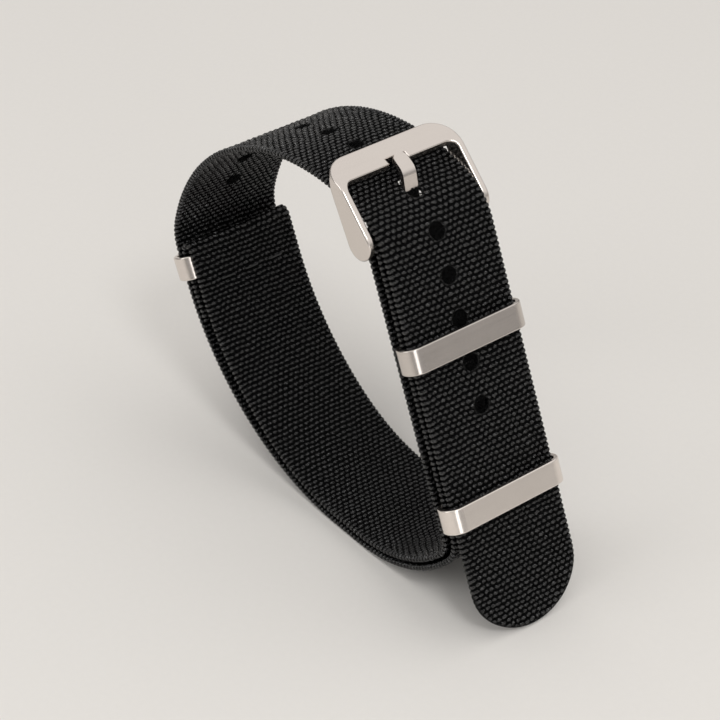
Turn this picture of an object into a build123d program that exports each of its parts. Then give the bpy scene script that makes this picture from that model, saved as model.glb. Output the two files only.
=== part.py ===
from build123d import *
import os
from math import acos, atan2, copysign, cos, degrees, radians, sin, sqrt

# A nylon watch strap, closed into its wearing loop and standing on the bottom of the loop and on
# the tip of its tail. Millimetres and degrees. The side view is drawn with x to the buckle's side
# and height up; every bend and run in it is on the middle line of the webbing.

# Webbing
strap_width = 20.0
webbing_thickness = 1.2
selvedge_radius = 0.35
layer_gap = 0.3
snug_gap = 0.2
overrun = 2.0

# Flat metal rings
ring_wall = 0.9
ring_band = 4.0
ring_side_gap = 0.4
ring_corner_radius = 2.4
ring_inner_radius = 0.9
ring_edge_radius = 0.2
ring_clearance = 0.1
ring_lift = 0.35
upper_ring_drop = 15.1
lower_ring_rise = 3.0
pocket_slack = 1.5
end_ring_slack = 0.5

# The loop's outer bends, to their outer faces, and where the straight side rises from the toe bend
up_heading = 113.6
toe_end_reach = 22.855
toe_end_height = 16.397
middle_length = 43.6
crown_radius = 10.5
crown_turn = 51.0
top_radius = 41.0
top_turn = 57.0
shoulder_heading = 254.0
shoulder_radius = 8.5
end_heading = 295.0
flat_length = 6.0
heel_turn = 52.0
inner_toe_radius = 3.5
inner_belly_heading = 150.0

# Spring bar
bar_radius = 0.7
bar_wall = 0.2
bar_clearance = 0.08
tip_pin_radius = 0.35
tip_slide_clearance = 0.03
tip_body_length = 3.0
tip_travel = 1.2
tip_pin_reach = 0.85
spring_wall = 0.15
bar_rim_length = 0.4

# Webbing folded over the spring bar
bar_turn = 27.4
fold_return_radius = 3.0
flap_drop = 8.6
flap_end_gap = 0.1

# Buckle frame
frame_side_gap = 0.3
lug_thickness = 1.15
lug_radius = 2.65
arm_front_heading = 136.2
arm_rear_heading = 120.0
arm_run = 7.5
arm_bend_radius = 3.0
plate_heading = 162.0
plate_run = 4.5
plate_thickness = 1.2
plate_corner_radius = 4.0
plate_inner_corner_radius = 1.6
arm_corner_radius = 1.5
frame_edge_radius = 0.3
window_edge_radius = 0.3
pin_hole_clearance = 0.05
pin_hole_depth = 0.9

# Buckle tongue
tongue_width = 2.4
tongue_thickness = 0.8
tongue_bar_clearance = 0.05
tongue_heading = 103.5
tongue_stem = 6.7
tongue_bend_radius = 1.7
tongue_bend = 47.0
tongue_reach = 2.2
tongue_end_radius = 1.0
notch_width = 3.6
notch_depth = 1.1
tongue_slot_width = 3.2

# Adjustment holes and the tail's rounded tip
hole_count = 14
lower_hole_count = 5
hole_pitch = 6.85
hole_radius = 1.35
tongue_hole_stretch = 2.0
tongue_hole_shift = 0.8
tongue_hole_turn = 48.5
tip_length = 9.06

# Stitching
thread_radius = 0.13
thread_clearance = 0.02
stitch_bend_radius = 0.25
stitch_hole_radius = 0.23
stitch_pitch = 2.4
stitch_count = 7
row_to_ring = 0.7
toe_row_margin = 0.35
buckle_row_drop = 5.5
end_flap_length = 6.0


def arrow(heading):
    """Unit vector of a heading in the side view, turning left from +X."""
    return Vector(cos(radians(heading)), sin(radians(heading)))


def bend_shape(first, last):
    """What a left-hand bend of unit radius spans between two headings."""
    a, b = radians(first), radians(last)
    return Vector(sin(b) - sin(a), cos(a) - cos(b))


def cross(first, second):
    """How far the second vector lies to the left of the first."""
    return first.X * second.Y - first.Y * second.X


def two_radii(span, first, second):
    """Radii of two bends, of the given unit shapes, that together reach over the span."""
    area = cross(first, second)
    return cross(span, second) / area, cross(first, span) / area


def step_end(point, heading, size, turn):
    """End of one step of a route: a run of that length, or a bend of that radius and turn."""
    if turn == 0:
        return point + arrow(heading) * size, heading
    return point + bend_shape(heading, heading + turn) * copysign(size, turn), heading + turn


def step_length(size, turn):
    """Length of one step along the route."""
    return size if turn == 0 else size * radians(abs(turn))


def station(point, heading, steps, distance):
    """Place and heading at a distance along a route."""
    for size, turn in steps:
        length = step_length(size, turn)
        if distance <= length:
            share = distance / length
            size_here = size * share if turn == 0 else size
            return step_end(point, heading, size_here, turn * share)
        point, heading = step_end(point, heading, size, turn)
        distance -= length
    return point, heading


def draw_route(point, heading, steps):
    """Lines and tangent arcs of a route, end to end, on the plane in use."""
    for size, turn in steps:
        start, direction = point, arrow(heading)
        point, heading = step_end(point, heading, size, turn)
        if turn == 0:
            Line((start.X, start.Y), (point.X, point.Y))
        else:
            JernArc((start.X, start.Y), (direction.X, direction.Y), size, turn)


# The straight side: the middle layer runs up it, the tail lies outside it, the short strap inside
half = webbing_thickness / 2
up = arrow(up_heading)
outward = arrow(up_heading - 90)
pocket_gap = ring_wall + 2 * ring_clearance
tail_offset = webbing_thickness + layer_gap
pocket_offset = webbing_thickness + pocket_gap
toe_end = Vector(toe_end_reach, toe_end_height)
crown_start = toe_end + up * middle_length
lower_ring_drop = middle_length - lower_ring_rise
flat_end = Vector(0, half)
flat_start = Vector(-flat_length, half)


def on_side(drop, offset):
    """Point of the straight side, down from the crown's start and outward from the middle layer."""
    return crown_start - up * drop + outward * offset


# Lower bends of the long strap, from the flat bottom to the straight side
heel_radius, toe_radius = two_radii(
    toe_end - flat_end, bend_shape(0, heel_turn), bend_shape(heel_turn, up_heading)
)

# Tail: its straight length brings the lower corner of its tip to the ground
tail_top = on_side(0, tail_offset)
tail_length = (tail_top.Y - half * outward.Y) / up.Y
tail_tip = tail_top - up * tail_length

# Crown, top, back and belly of the long strap; back and belly close the loop
tail_crown_radius = crown_radius - half
top_heading = up_heading + crown_turn
back_heading = top_heading + top_turn
fold_inner_radius = ring_wall / 2 + ring_clearance
fold_radius = fold_inner_radius + half
fold_rise = ring_band / 2 + end_ring_slack + ring_clearance
row_drop = ring_band / 2 + end_ring_slack + row_to_ring
run_above = fold_rise + ring_clearance
run_below = row_drop + row_to_ring / 2
crown_end, _ = step_end(tail_top, up_heading, tail_crown_radius, crown_turn)
top_end, _ = step_end(crown_end, top_heading, top_radius - half, top_turn)
fixed_steps = bend_shape(shoulder_heading, end_heading) * (shoulder_radius - half)
fixed_steps += arrow(end_heading) * (run_above + run_below)
back_radius, belly_radius = two_radii(
    flat_start - top_end - fixed_steps,
    bend_shape(back_heading, shoulder_heading),
    bend_shape(end_heading, 360),
)

# Middle layer's end: round the spring bar, and back down as a flap in line with the short strap
inner_crown_radius = crown_radius - tail_offset - half
bar_seat_radius = bar_radius + bar_clearance
bar_fold_radius = bar_seat_radius + half
crown_centre = on_side(0, -inner_crown_radius)
bar_centre = crown_centre + arrow(up_heading - 90 + bar_turn) * (inner_crown_radius - bar_fold_radius)
fold_span = bar_fold_radius + fold_return_radius
bar_offset = (bar_centre - crown_start).dot(outward)
bar_rise = (bar_centre - crown_start).dot(up)
swing = degrees(acos((bar_offset + pocket_offset + fold_return_radius) / fold_span))
return_rise = bar_rise - fold_span * sin(radians(swing))

long_steps = [
    (tail_length, 0),
    (tail_crown_radius, crown_turn),
    (top_radius - half, top_turn),
    (back_radius, shoulder_heading - back_heading),
    (shoulder_radius - half, end_heading - shoulder_heading),
    (run_above + run_below, 0),
    (belly_radius, 360 - end_heading),
    (flat_length, 0),
    (heel_radius, heel_turn),
    (toe_radius, up_heading - heel_turn),
    (middle_length, 0),
    (inner_crown_radius, bar_turn),
    (bar_fold_radius, 180 - bar_turn + swing),
    (fold_return_radius, -swing),
    (return_rise + flap_drop, 0),
]

# End ring's seat on the long strap, and its sides: inward is towards the loop's middle
steps_to_end = long_steps[:5]
end_seat, _ = station(tail_tip, up_heading, steps_to_end, sum(step_length(*s) for s in steps_to_end))
end_down = arrow(end_heading)
end_inward = arrow(end_heading + 90)
end_seat += end_down * run_above
inner_end_offset = tail_offset + 2 * fold_radius

# Short strap: from below the flap, down behind the rings, along the bottom and up to the end ring
short_start = on_side(flap_drop + flap_end_gap, -pocket_offset)
heel_centre = flat_end + Vector(0, heel_radius)
inner_heel_radius = heel_radius - webbing_thickness - snug_gap
toe_line = on_side(0, -pocket_offset - inner_toe_radius) - heel_centre
toe_reach = toe_line.dot(up)
toe_side = toe_line.dot(outward)
inner_toe_drop = toe_reach + sqrt((inner_heel_radius - inner_toe_radius) ** 2 - toe_side**2)
toe_centre = on_side(inner_toe_drop, -pocket_offset - inner_toe_radius)
toe_to_heel = toe_centre - heel_centre
toe_bearing = degrees(atan2(toe_to_heel.Y, toe_to_heel.X))
inner_flat_start = flat_start + Vector(0, webbing_thickness + snug_gap)
inner_end = end_seat + end_inward * inner_end_offset + end_down * run_below
inner_up_heading = end_heading - 180
lower_belly_radius, upper_belly_radius = two_radii(
    inner_end - inner_flat_start,
    bend_shape(180, inner_belly_heading) * -1,
    bend_shape(inner_belly_heading, inner_up_heading) * -1,
)
flap_belly_radius = belly_radius - tail_offset
short_steps = [
    (inner_toe_drop - flap_drop - flap_end_gap, 0),
    (inner_toe_radius, toe_bearing - up_heading + 90),
    (inner_heel_radius, -90 - toe_bearing),
    (flat_length, 0),
    (lower_belly_radius, inner_belly_heading - 180),
    (upper_belly_radius, inner_up_heading - inner_belly_heading),
    (run_below + fold_rise, 0),
    (fold_radius, 180),
    (fold_rise + run_below, 0),
    (flap_belly_radius, degrees(end_flap_length / flap_belly_radius)),
]

# The loop is centred on the origin: its widest points are the end ring or shoulder, and the tail's tip
ring_outer_offset = half + ring_lift + ring_wall
ring_edge = end_seat - end_inward * ring_outer_offset - end_down * (ring_band / 2)
right_edge = (tail_tip + outward * half).X
shoulder_top = end_seat - end_down * run_above
shoulder_edge = shoulder_top.X - (shoulder_radius - half) * (1 + sin(radians(end_heading))) - half
loop_middle = (right_edge + min(ring_edge.X, shoulder_edge)) / 2
side_view = Plane(origin=(-loop_middle, 0, 0), x_dir=(1, 0, 0), z_dir=(0, -1, 0))


def placed(point):
    """Place in the model of a point of the side view."""
    return Vector(point.X - loop_middle, 0, point.Y)


def facing(point, heading):
    """Plane at a point of the side view that faces along a heading; its x runs across the strap."""
    normal = arrow(heading)
    return Plane(origin=placed(point), x_dir=(0, 1, 0), z_dir=(normal.X, 0, normal.Y))


def webbing(point, heading, steps):
    """Ribbon of webbing with rounded selvedges along a route, added to the part in use."""
    with BuildLine(side_view) as route:
        draw_route(point, heading, steps)
    with BuildSketch(facing(point, heading)) as section:
        RectangleRounded(strap_width, webbing_thickness, selvedge_radius)
    sweep(section.sketch, path=route.line)


# Stitched rows: each goes through two layers that lie one ring's wall apart
row_depth = 2 * webbing_thickness + pocket_gap
row_travel = pocket_slack + ring_band / 2 + row_to_ring
side_row_offset = half - row_depth / 2
side_rows = {
    "buckle_fold_stitching": buckle_row_drop,
    "upper_pocket_top_stitching": upper_ring_drop - row_travel,
    "upper_pocket_bottom_stitching": upper_ring_drop + row_travel,
    "lower_pocket_top_stitching": lower_ring_drop - row_travel,
    "lower_pocket_bottom_stitching": middle_length - toe_row_margin,
}
row_planes = {name: facing(on_side(drop, side_row_offset), up_heading - 90)
              for name, drop in side_rows.items()}
end_row_offset = tail_offset - half + row_depth / 2
end_row = end_seat + end_down * row_drop + end_inward * end_row_offset
row_planes["end_fold_stitching"] = facing(end_row, end_heading + 90)
leg_places = [(i - stitch_count / 2) * stitch_pitch for i in range(stitch_count + 1)]


def stitch_holes(names):
    """Needle holes of the named rows, through both of their layers."""
    with BuildSketch(*[row_planes[name] for name in names]) as holes:
        with Locations(*[(place, 0) for place in leg_places]):
            Circle(stitch_hole_radius)
    extrude(holes.sketch, amount=row_depth / 2 + layer_gap / 2, both=True, mode=Mode.SUBTRACT)


# Long strap: tail, crown, top, back, belly, bottom, middle layer and buckle fold in one ribbon
tongue_hole_place = tail_length + tail_crown_radius * radians(tongue_hole_turn)
hole_planes = []
for i in range(hole_count):
    hole_place = tongue_hole_place + (i - lower_hole_count) * hole_pitch
    hole_point, hole_heading = station(tail_tip, up_heading, long_steps, hole_place)
    hole_planes.append(facing(hole_point, hole_heading - 90))
tip_plane = facing(tail_tip, up_heading - 90)
with BuildPart() as long_strap:
    webbing(tail_tip, up_heading, long_steps)
    with BuildSketch(*hole_planes):
        Circle(hole_radius)
    extrude(amount=webbing_thickness, both=True, mode=Mode.SUBTRACT)
    with BuildSketch(hole_planes[lower_hole_count]):
        with Locations((0, tongue_hole_shift)):
            SlotCenterToCenter(tongue_hole_stretch, 2 * hole_radius, rotation=90)
    extrude(amount=webbing_thickness, both=True, mode=Mode.SUBTRACT)
    with BuildSketch(tip_plane):
        with Locations((0, tip_length / 2 - overrun / 2)):
            Rectangle(strap_width + overrun, tip_length + overrun)
        with Locations((0, tip_length)):
            Ellipse(strap_width / 2, tip_length, mode=Mode.SUBTRACT)
    extrude(amount=webbing_thickness, both=True, mode=Mode.SUBTRACT)
    with BuildSketch(side_view):
        with Locations((bar_centre.X, bar_centre.Y)):
            Circle(bar_seat_radius + webbing_thickness + layer_gap / 2)
    extrude(amount=tongue_slot_width / 2, both=True, mode=Mode.SUBTRACT)
    stitch_holes(side_rows)

# Short strap, folded round the end ring's inner bar
with BuildPart() as short_strap:
    webbing(short_start, up_heading + 180, short_steps)
    stitch_holes([name for name in row_planes if name != "buckle_fold_stitching"])


def stitching(plane):
    """Thread that runs in and out through a row's needle holes, in one piece."""
    level = row_depth / 2 + thread_radius + thread_clearance
    leg = 2 * level - 2 * stitch_bend_radius
    run = stitch_pitch - 2 * stitch_bend_radius
    tail = stitch_pitch / 2 - stitch_bend_radius
    steps = [(tail, 0)]
    for i in range(stitch_count + 1):
        turn = -90 if i % 2 == 0 else 90
        steps += [(stitch_bend_radius, turn), (leg, 0), (stitch_bend_radius, -turn), (run, 0)]
    steps[-1] = (tail, 0)
    start = Vector(leg_places[0] - stitch_pitch / 2, level)
    across = Plane(origin=plane.origin, x_dir=plane.x_dir, z_dir=plane.y_dir * -1)
    section = Plane(
        origin=across.from_local_coords((start.X, start.Y)), x_dir=across.z_dir, z_dir=across.x_dir
    )
    with BuildPart() as thread:
        with BuildLine(across):
            draw_route(start, 0, steps)
        with BuildSketch(section):
            Circle(thread_radius)
        sweep()
    return thread.part


def flat_ring(point, heading, middle_offset):
    """Flat metal ring round the webbing; its opening's middle is offset to the heading's right."""
    opening = strap_width + 2 * ring_side_gap
    depth = half + ring_lift + tail_offset + half + ring_clearance
    seat = point + arrow(heading - 90) * middle_offset
    with BuildPart() as ring:
        with BuildSketch(facing(seat, heading)):
            RectangleRounded(opening + 2 * ring_wall, depth + 2 * ring_wall, ring_corner_radius)
            RectangleRounded(opening, depth, ring_inner_radius, mode=Mode.SUBTRACT)
        extrude(amount=ring_band / 2, both=True)
        along = Axis((0, 0, 0), facing(seat, heading).z_dir)
        fillet(ring.edges().filter_by(along, reverse=True), ring_edge_radius)
    return ring.part


ring_middle_offset = (tail_offset + ring_lift - ring_clearance) / 2
upper_keeper = flat_ring(on_side(upper_ring_drop, 0), up_heading, ring_middle_offset)
lower_keeper = flat_ring(on_side(lower_ring_drop, 0), up_heading, ring_middle_offset)
end_middle_offset = ring_lift - (ring_lift + tail_offset - ring_clearance) / 2 - ring_clearance
end_keeper = flat_ring(end_seat, end_heading, end_middle_offset)

# Buckle frame: a plate across the strap, carried by two arms that end in round lugs
frame_half = strap_width / 2 + frame_side_gap
lug_face = frame_half + lug_thickness
front_start = bar_centre + arrow(arm_front_heading - 90) * lug_radius
front_end = front_start + arrow(arm_front_heading) * arm_run
plate_start, _ = step_end(front_end, arm_front_heading, arm_bend_radius, plate_heading - arm_front_heading)
plate_end = plate_start + arrow(plate_heading) * plate_run
plate_down = arrow(plate_heading + 90)
under_start = plate_start + plate_down * plate_thickness
under_end = plate_end + plate_down * plate_thickness
rear_start = bar_centre + arrow(arm_rear_heading + 90) * lug_radius
rear_run = cross(under_end - rear_start, arrow(plate_heading)) / cross(
    arrow(arm_rear_heading), arrow(plate_heading)
)
rear_end = rear_start + arrow(arm_rear_heading) * rear_run
lug_turn = 360 + arm_front_heading - arm_rear_heading - 180
plate_axis = Axis((0, 0, 0), (plate_down.X, 0, plate_down.Y))
arm_front = facing(bar_centre, arm_front_heading - 90).z_dir
window_length = arm_run + arm_bend_radius + 2 * lug_radius + overrun
pin_seat_radius = tip_pin_radius + pin_hole_clearance
with BuildPart() as buckle_frame:
    with BuildSketch(side_view):
        with BuildLine():
            draw_route(
                rear_start,
                arm_rear_heading + 180,
                [
                    (lug_radius, lug_turn),
                    (arm_run, 0),
                    (arm_bend_radius, plate_heading - arm_front_heading),
                    (plate_run, 0),
                ],
            )
            Polyline(*[(p.X, p.Y) for p in (plate_end, under_end, rear_end, rear_start)])
        make_face()
        fillet(vertices().sort_by_distance((rear_end.X, rear_end.Y))[0], arm_corner_radius)
    extrude(amount=lug_face, both=True)
    fillet(buckle_frame.edges().filter_by(plate_axis).sort_by(Axis.X)[:2], plate_corner_radius)
    fillet(buckle_frame.edges().filter_by(Axis.Y, reverse=True), frame_edge_radius)
    with BuildSketch(facing(plate_start, plate_heading - 90)):
        with Locations((0, -window_length / 2)):
            Rectangle(2 * frame_half, window_length)
        fillet(vertices().sort_by(Axis.Y)[-2:], plate_inner_corner_radius)
        Rectangle(notch_width, 2 * notch_depth)
    extrude(amount=window_length, both=True, mode=Mode.SUBTRACT)
    window_rim = [
        edge for edge in buckle_frame.edges(Select.LAST)
        if (edge.center() - placed(bar_centre)).dot(arm_front) > lug_radius / 2
        and max(abs(corner.Y) for corner in edge.vertices()) < frame_half + frame_edge_radius
    ]
    fillet(window_rim, window_edge_radius)
    with BuildSketch(facing(under_start, plate_heading + 90)):
        Rectangle(2 * frame_half, 2 * window_length)
    extrude(amount=window_length, mode=Mode.SUBTRACT)
    for side in (-1, 1):
        with BuildSketch(side_view.offset(side * frame_half)):
            with Locations((bar_centre.X, bar_centre.Y)):
                Circle(pin_seat_radius)
        extrude(amount=side * pin_hole_depth, mode=Mode.SUBTRACT)

# Buckle tongue: a strip rolled round the spring bar, up through the strap and over into the notch
tongue_half = tongue_thickness / 2
tongue_roll_radius = bar_radius + tongue_bar_clearance + tongue_half
roll_end = bar_centre + arrow(tongue_heading + 90) * tongue_roll_radius
tongue_steps = [(tongue_stem, 0), (tongue_bend_radius, tongue_bend), (tongue_reach, 0)]
tip_normal = arrow(tongue_heading + tongue_bend - 90)
tip_axis = Axis((0, 0, 0), (tip_normal.X, 0, tip_normal.Y))
with BuildPart() as buckle_tongue:
    with BuildSketch(side_view):
        with Locations((bar_centre.X, bar_centre.Y)):
            Circle(tongue_roll_radius + tongue_half)
    extrude(amount=tongue_width / 2, both=True)
    with BuildLine(side_view):
        draw_route(roll_end, tongue_heading, tongue_steps)
    with BuildSketch(facing(roll_end, tongue_heading)):
        Rectangle(tongue_width, tongue_thickness)
    sweep()
    with BuildSketch(side_view):
        with Locations((bar_centre.X, bar_centre.Y)):
            Circle(bar_radius + tongue_bar_clearance)
    extrude(amount=tongue_width, both=True, mode=Mode.SUBTRACT)
    fillet(buckle_tongue.edges().filter_by(tip_axis).sort_by(Axis.X)[:2], tongue_end_radius)

# Spring bar: a tube between the lugs with a sprung tip in each end
bar_reach = strap_width / 2 + ring_clearance
bore_radius = bar_radius - bar_wall
tip_body_radius = bore_radius - tip_slide_clearance
rim_radius = tip_pin_radius + tip_slide_clearance
tip_body_end = bar_reach - bar_rim_length
with BuildPart() as spring_bar_tube:
    with BuildSketch(side_view):
        with Locations((bar_centre.X, bar_centre.Y)):
            Circle(bar_radius)
            Circle(rim_radius, mode=Mode.SUBTRACT)
    extrude(amount=bar_reach, both=True)
    with BuildSketch(side_view):
        with Locations((bar_centre.X, bar_centre.Y)):
            Circle(bore_radius)
    extrude(amount=tip_body_end, both=True, mode=Mode.SUBTRACT)


def spring_bar_tip(side):
    """Stepped pin at one end of the bar: its body slides in the tube, its pin sits in a lug."""
    with BuildPart() as tip:
        with BuildSketch(side_view.offset(side * (tip_body_end - tip_body_length))):
            with Locations((bar_centre.X, bar_centre.Y)):
                Circle(tip_body_radius)
        extrude(amount=side * tip_body_length)
        with BuildSketch(side_view.offset(side * tip_body_end)):
            with Locations((bar_centre.X, bar_centre.Y)):
                Circle(tip_pin_radius)
        extrude(amount=side * (frame_half + tip_pin_reach - tip_body_end))
    return tip.part


spring_bar_tip_near = spring_bar_tip(1)
spring_bar_tip_far = spring_bar_tip(-1)
spring_half = tip_body_end - tip_body_length - tip_travel
with BuildPart() as spring_bar_spring:
    with BuildSketch(side_view):
        with Locations((bar_centre.X, bar_centre.Y)):
            Circle(tip_body_radius)
            Circle(tip_body_radius - spring_wall, mode=Mode.SUBTRACT)
    extrude(amount=spring_half, both=True)

pieces = {
    "long_strap": long_strap.part,
    "short_strap": short_strap.part,
    "upper_keeper": upper_keeper,
    "lower_keeper": lower_keeper,
    "end_keeper": end_keeper,
    "buckle_frame": buckle_frame.part,
    "buckle_tongue": buckle_tongue.part,
    "spring_bar_tube": spring_bar_tube.part,
    "spring_bar_tip_near": spring_bar_tip_near,
    "spring_bar_tip_far": spring_bar_tip_far,
    "spring_bar_spring": spring_bar_spring.part,
}
for name, plane in row_planes.items():
    pieces[name] = stitching(plane)

os.makedirs("parts", exist_ok=True)
for name, piece in pieces.items():
    piece.label = name
    export_step(piece, f"parts/{name}.step")
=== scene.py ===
from math import copysign, degrees, pi, radians

import bpy
import numpy as np
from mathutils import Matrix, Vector


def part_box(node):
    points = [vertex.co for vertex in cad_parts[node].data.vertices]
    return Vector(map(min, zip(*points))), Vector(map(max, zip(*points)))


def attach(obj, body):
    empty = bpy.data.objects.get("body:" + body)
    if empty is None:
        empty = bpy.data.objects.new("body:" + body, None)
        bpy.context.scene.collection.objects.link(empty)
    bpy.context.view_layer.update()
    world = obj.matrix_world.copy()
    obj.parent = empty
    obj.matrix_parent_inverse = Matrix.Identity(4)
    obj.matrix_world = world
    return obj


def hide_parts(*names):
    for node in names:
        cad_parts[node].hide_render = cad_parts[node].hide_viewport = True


bl_info = {
    "name": "Nato Watch Strap",
    "version": (1, 0, 0),
    "blender": (4, 5, 0),
    "location": "3D View > Sidebar > Strap",
    "description": "Dresses a nylon pass-through watch strap with woven webbing, satin metal and stitching",
    "category": "Object",
}

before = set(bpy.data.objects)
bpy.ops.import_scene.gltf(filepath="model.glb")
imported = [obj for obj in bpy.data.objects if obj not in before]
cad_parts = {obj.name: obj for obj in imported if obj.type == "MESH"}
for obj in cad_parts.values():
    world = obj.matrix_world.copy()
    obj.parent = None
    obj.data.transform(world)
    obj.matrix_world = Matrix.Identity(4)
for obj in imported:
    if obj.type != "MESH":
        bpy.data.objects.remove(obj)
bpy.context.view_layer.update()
mm = 0.001

# Layers of webbing and the metal ring between them
LAYER_GAP = 0.3 * mm
SNUG_GAP = 0.2 * mm
RING_WALL = 0.9 * mm
RING_CLEARANCE = 0.1 * mm
RING_BAND = 4.0 * mm
END_RING_SLACK = 0.5 * mm
ROW_TO_RING = 0.7 * mm

# The loop in side view. Headings are in degrees, turning left from +X. The toe's end lies on the
# middle of the webbing, and the crown, top and shoulder have the radii of its outer face
UP_HEADING = 113.6
TOE_END = (22.855 + 16.397j) * mm
MIDDLE_LENGTH = 43.6 * mm
CROWN_RADIUS = 10.5 * mm
CROWN_TURN = 51.0
TOP_RADIUS = 41.0 * mm
TOP_TURN = 57.0
SHOULDER_HEADING = 254.0
SHOULDER_RADIUS = 8.5 * mm
END_HEADING = 295.0
FLAT_LENGTH = 6.0 * mm
HEEL_TURN = 52.0
INNER_TOE_RADIUS = 3.5 * mm
INNER_BELLY_HEADING = 150.0
BAR_SEAT_RADIUS = 0.78 * mm
BAR_TURN = 27.4
FOLD_RETURN_RADIUS = 3.0 * mm
FLAP_DROP = 8.6 * mm
FLAP_END_GAP = 0.02 * mm
END_FLAP_LENGTH = 6.0 * mm

# Holes, of which the unused ones above the tongue's stay tighter, the slot for the tongue's roll,
# and the tail's rounded tip
HOLE_COUNT = 14
LOWER_HOLE_COUNT = 5
HOLE_PITCH = 6.85 * mm
TONGUE_HOLE_STRETCH = 2.0 * mm
TONGUE_HOLE_SHIFT = 0.95 * mm
TONGUE_HOLE_RADIUS = 1.2 * mm
UNUSED_HOLE_SHARE = 0.84
TONGUE_HOLE_TURN = 48.5
TONGUE_SLOT_WIDTH = 2.8 * mm
SLOT_REACH = 1.75 * mm
TIP_LENGTH = 9.06 * mm

# The grid of points: lines to each row of beads, and where the lines next to a selvedge lie, in half
# beads from it
LINES_PER_ROW = 3
SELVEDGE_LINES = (0.5, 0.2, 0.0)

# Slow waves in the weave, each with its direction in radians and its length in mm, and how the
# columns' waves are squeezed across the ribbon and stretched along it
WAVES = ((0.3, 7.3), (1.7, 4.1), (2.6, 11.9), (4.0, 2.9))
COLUMN_SQUEEZE = 3
COLUMN_STRETCH = 2

# The weave's relief, in shares of a bead's height: the hollows between the beads of a row, and a
# melted rim. Then the power that flattens a row, the share of the thickness left at a rounded edge,
# and how far a row's hollows pull the selvedge in
HOLLOW_HEIGHT = 0.35
RIM_HEIGHT = 0.8
ROW_FLATNESS = 0.8
EDGE_THICKNESS = 0.5
SELVEDGE_PULL = 0.6

# The loose yarn ends: how many a hole of the tail has, how many times as many the tongue's hole and
# those above it have, the share of the long strap that is tail, and the points along one end
FIBRES_PER_HOLE = 34
CROWDED_TIMES = 4
TAIL_PART = 1 / 6
FIBRE_POINTS = 4

# One yarn end, in radii of its hole: where it starts, its least and greatest reach, its lean and its
# bow. Then, in thicknesses of the webbing: its least and greatest depth, and its rise
FIBRE_ROOT = 1.08
FIBRE_REACH = (0.5, 1.7)
FIBRE_LEAN = 0.5
FIBRE_BOW = 0.25
FIBRE_DEPTH = (-0.4, 0.1)
FIBRE_RISE = 0.12

# Beads in the webbing's finish: how square they are along and across the strap, how the selvedge
# joins them up, how flat their crowns are, and how much their heights differ
BEAD_SQUARENESS = (2.4, 2.2)
SELVEDGE_JOIN = 0.8
CROWN_FLATNESS = 0.62
HEIGHT_CHANCE = 0.25

# Painted shade in the gaps between beads: from where to where a bead's edge sinks, how far a noise
# shifts that, how much of a melted rim gets the same painted shade, and how strong it is in the deepest gap
GAP_START = 0.36
GAP_END = 0.92
GAP_SHADE_WANDER = 0.7
RIM_GAP_SHADE = 0.8
GAP_SHADE_STRENGTH = 0.94

# Patterns in the yarn and its painted gap shade, in repeats along a row's pitch, across a bead and from
# face to face
FIBRE_PATTERN = (14.0, 3.0, 1.0)
PATCH_PATTERN = (0.35, 0.35, 1.0)
GAP_SHADE_PATTERN = (2.1, 1.3, 1.0)

# The yarn's twist: how fast it turns by row, by column and from bead to bead
TWIST_BY_ROW = 11.0
TWIST_BY_COLUMN = 15.0
TWIST_BY_BEAD = 6.0

# Relief of the fibres, the twist and the melted rims, and the relief's depth in bead heights
FIBRE_RELIEF = 0.22
TWIST_RELIEF = 0.22
RIM_RELIEF = 0.7
RELIEF_DEPTH = 1.4

# How much each of these lightens the yarn; the crown's share is a painted highlight on each bead's top,
# and the others are the yarn's own tones
PAINTED_CROWN_HIGHLIGHT = 0.3
BEAD_SHADE = 0.4
TWIST_SHADE = 0.2
PATCH_SHADE = 0.9
RIM_SHADE = 0.2

# The yarn's roughness and how much it varies, and how strongly the yarn shines
YARN_ROUGHNESS = 0.13
YARN_ROUGHNESS_SWING = 0.1
YARN_SHINE = 0.72

# The thread's lay and the loose yarn's specks, in marks to a metre, and the thread's relief
THREAD_LAY = (5000.0, 9000.0, 5000.0)
YARN_SPECKS = 4000.0
THREAD_RELIEF = 0.04 * mm

# The metal: its fine and broad brush marks and its handling marks, in marks to a metre, their shares
# in what shows, and how much they vary the roughness
FINE_BRUSHING = (3600.0, 50.0, 3600.0)
BROAD_BRUSHING = (1100.0, 30.0, 1100.0)
HANDLING_MARKS = 260.0
FINE_SHARE = 0.6
BROAD_SHARE = 0.4
STREAK_WEAR = 0.7
HANDLING_WEAR = 0.3
STREAK_ROUGHNESS = 0.06
HANDLING_ROUGHNESS = 0.05

# Each metal part's tone, depth of brush marks and roughness. The keepers' tones paint light and shade into
# one steel, the upper keeper darker and the lower keeper lighter, and the bar's tone is painted shade
KEEPER_LIGHT_AND_SHADE_TONES = {"upper_keeper": 0.78, "lower_keeper": 1.04, "end_keeper": 0.94}
KEEPER_BRUSH = 0.0004 * mm
KEEPER_ROUGHNESS = 0.25
BUCKLE_TONE = 0.88
BUCKLE_BRUSH = 0.0003 * mm
BUCKLE_ROUGHNESS = 0.24
BAR_SHADE_TONE = 0.7
BAR_BRUSH = 0.001 * mm
BAR_ROUGHNESS = 0.3

# The photograph's view: its square side in pixels, the lens in pixels, and where the camera stands
FRAME_SIDE_PX = 720
LENS_PX = 2299.04
SENSOR_WIDTH_MM = 36.0
CAMERA_PITCH = 35.872
CAMERA_AZIMUTH = 51.791
CAMERA_DISTANCE = 365.816 * mm
CAMERA_TARGET = Vector((-3.505, 0, 24.85)) * mm

# The soft lamp overhead
KEY_PLACE = (0.42, -0.14, 0.56)
KEY_SIZE = 0.15

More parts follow.
